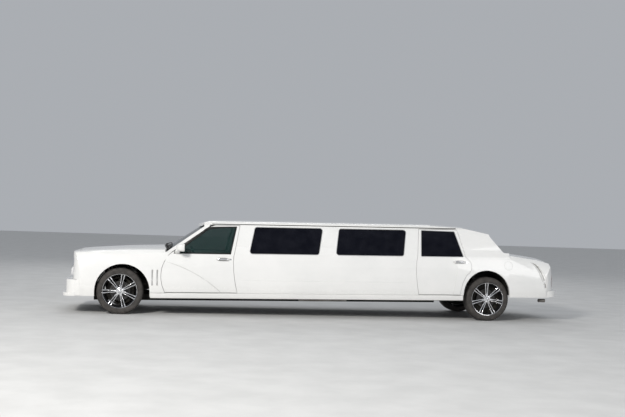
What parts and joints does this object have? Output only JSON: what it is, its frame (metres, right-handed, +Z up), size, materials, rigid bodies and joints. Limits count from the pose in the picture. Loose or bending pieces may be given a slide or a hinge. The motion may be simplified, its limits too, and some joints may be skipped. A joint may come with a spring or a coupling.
{
  "type": "stretch limousine",
  "caption": "Long-wheelbase chauffeur-driven saloon with opening doors, hood and trunk lid, steering front wheels and free-turning road wheels.",
  "frame": {"origin": "on the ground under the middle of the overall length and width", "axes": "+X towards the rear, +Y towards the car's right side, +Z up; the car faces -X"},
  "size_m": [8.2884, 2.3108, 1.5884],
  "materials": {
    "white_paint": "clear-coated gloss",
    "black_frame_paint": "satin black",
    "black_trim": "satin",
    "dark_glass": "dark tint",
    "clear_glass": "light green tint",
    "lamp_glass": "clear lens",
    "red_lamp": "red lens",
    "chrome": "polished",
    "alloy": "polished",
    "tyre": "matte",
    "bare_steel": "rough",
    "exhaust_steel": "dull",
    "leather": "semi-gloss",
    "cabin_plastic": "matte"
  },
  "bodies": {
    "body": {"back_panel": "white_paint", "bulkhead": "black_frame_paint", "cabin_seats": "leather", "chassis_frame": "black_frame_paint", "cowl_panel": "black_trim", "dashboard": "cabin_plastic", "drinks_cabinet": "cabin_plastic", "driveshaft": "bare_steel", "engine_block": "bare_steel", "exhaust": "exhaust_steel", "floor_pan": "black_frame_paint", "front_bumper": "white_paint", "front_fender_left": "white_paint", "front_fender_right": "white_paint", "front_seats": "leather", "front_suspension": "bare_steel", "grille_bars": "chrome", "grille_shell": "chrome", "headlamps": "lamp_glass", "nose_panel": "white_paint", "partition": "cabin_plastic", "rear_axle": "bare_steel", "rear_bumper": "white_paint", "rear_deck": "white_paint", "rear_quarter_left": "white_paint", "rear_quarter_right": "white_paint", "rear_window": "dark_glass", "roof": "white_paint", "side_glass": "dark_glass", "side_panel_left": "white_paint", "side_panel_right": "white_paint", "side_skirts": "white_paint", "steering_wheel": "cabin_plastic", "tail_lamps": "red_lamp", "wheel_housings": "black_trim", "windscreen": "clear_glass"},
    "front_door_left_body": {"front_door_glass_left": "clear_glass", "front_door_left": "white_paint", "mirror_left": "white_paint"},
    "front_door_right_body": {"front_door_glass_right": "clear_glass", "front_door_right": "white_paint", "mirror_right": "white_paint"},
    "front_wheel_left": {"front_rim_left": "alloy", "front_tyre_left": "tyre"},
    "front_wheel_right": {"front_rim_right": "alloy", "front_tyre_right": "tyre"},
    "hood_body": {"hood": "white_paint"},
    "steering_knuckle_left": {"knuckle_left": "bare_steel"},
    "steering_knuckle_right": {"knuckle_right": "bare_steel"},
    "rear_door_left_body": {"rear_door_glass_left": "dark_glass", "rear_door_left": "white_paint"},
    "rear_door_right_body": {"rear_door_glass_right": "dark_glass", "rear_door_right": "white_paint"},
    "rear_wheel_left": {"rear_rim_left": "alloy", "rear_tyre_left": "tyre"},
    "rear_wheel_right": {"rear_rim_right": "alloy", "rear_tyre_right": "tyre"},
    "trunk_lid_body": {"trunk_lid": "white_paint"}
  },
  "joints": [
    {"name": "steer_left", "type": "hinge", "parent": "body", "child": "steering_knuckle_left", "pos_m": [-3.222, -0.768, 0.366], "axis": [0, 0, 1], "range_deg": [-30, 30]},
    {"name": "front_wheel_left_spin", "type": "hinge", "parent": "steering_knuckle_left", "child": "front_wheel_left", "pos_m": [-3.222, -0.812, 0.366], "axis": [0, 1, 0], "continuous": true},
    {"name": "rear_wheel_left_spin", "type": "hinge", "parent": "body", "child": "rear_wheel_left", "pos_m": [2.816, -0.812, 0.366], "axis": [0, 1, 0], "continuous": true},
    {"name": "front_door_left_swing", "type": "hinge", "parent": "body", "child": "front_door_left_body", "pos_m": [-2.58643, -1.01, 0.70835], "axis": [0.0131, 0, -0.9999], "range_deg": [0, 65]},
    {"name": "rear_door_left_swing", "type": "hinge", "parent": "body", "child": "rear_door_left_body", "pos_m": [1.57422, -1, 0.76282], "axis": [0.0131, 0, -0.9999], "range_deg": [0, 65]},
    {"name": "steer_right", "type": "hinge", "parent": "body", "child": "steering_knuckle_right", "pos_m": [-3.222, 0.768, 0.366], "axis": [0, 0, 1], "range_deg": [-30, 30]},
    {"name": "front_wheel_right_spin", "type": "hinge", "parent": "steering_knuckle_right", "child": "front_wheel_right", "pos_m": [-3.222, 0.812, 0.366], "axis": [0, 1, 0], "continuous": true},
    {"name": "rear_wheel_right_spin", "type": "hinge", "parent": "body", "child": "rear_wheel_right", "pos_m": [2.816, 0.812, 0.366], "axis": [0, 1, 0], "continuous": true},
    {"name": "front_door_right_swing", "type": "hinge", "parent": "body", "child": "front_door_right_body", "pos_m": [-2.58643, 1.01, 0.70835], "axis": [-0.0131, 0, 0.9999], "range_deg": [0, 65]},
    {"name": "rear_door_right_swing", "type": "hinge", "parent": "body", "child": "rear_door_right_body", "pos_m": [1.57422, 1, 0.76282], "axis": [-0.0131, 0, 0.9999], "range_deg": [0, 65]},
    {"name": "hood_lift", "type": "hinge", "parent": "body", "child": "hood_body", "pos_m": [-2.52154, 0, 1.09923], "axis": [0, 1, 0], "range_deg": [0, 50]},
    {"name": "trunk_lid_lift", "type": "hinge", "parent": "body", "child": "trunk_lid_body", "pos_m": [3.20884, 0, 1.14624], "axis": [0, -1, 0], "range_deg": [0, 70]}
  ],
  "couplings": [
    {"joint": "steer_right", "follows": "steer_left", "ratio": 1}
  ]
}
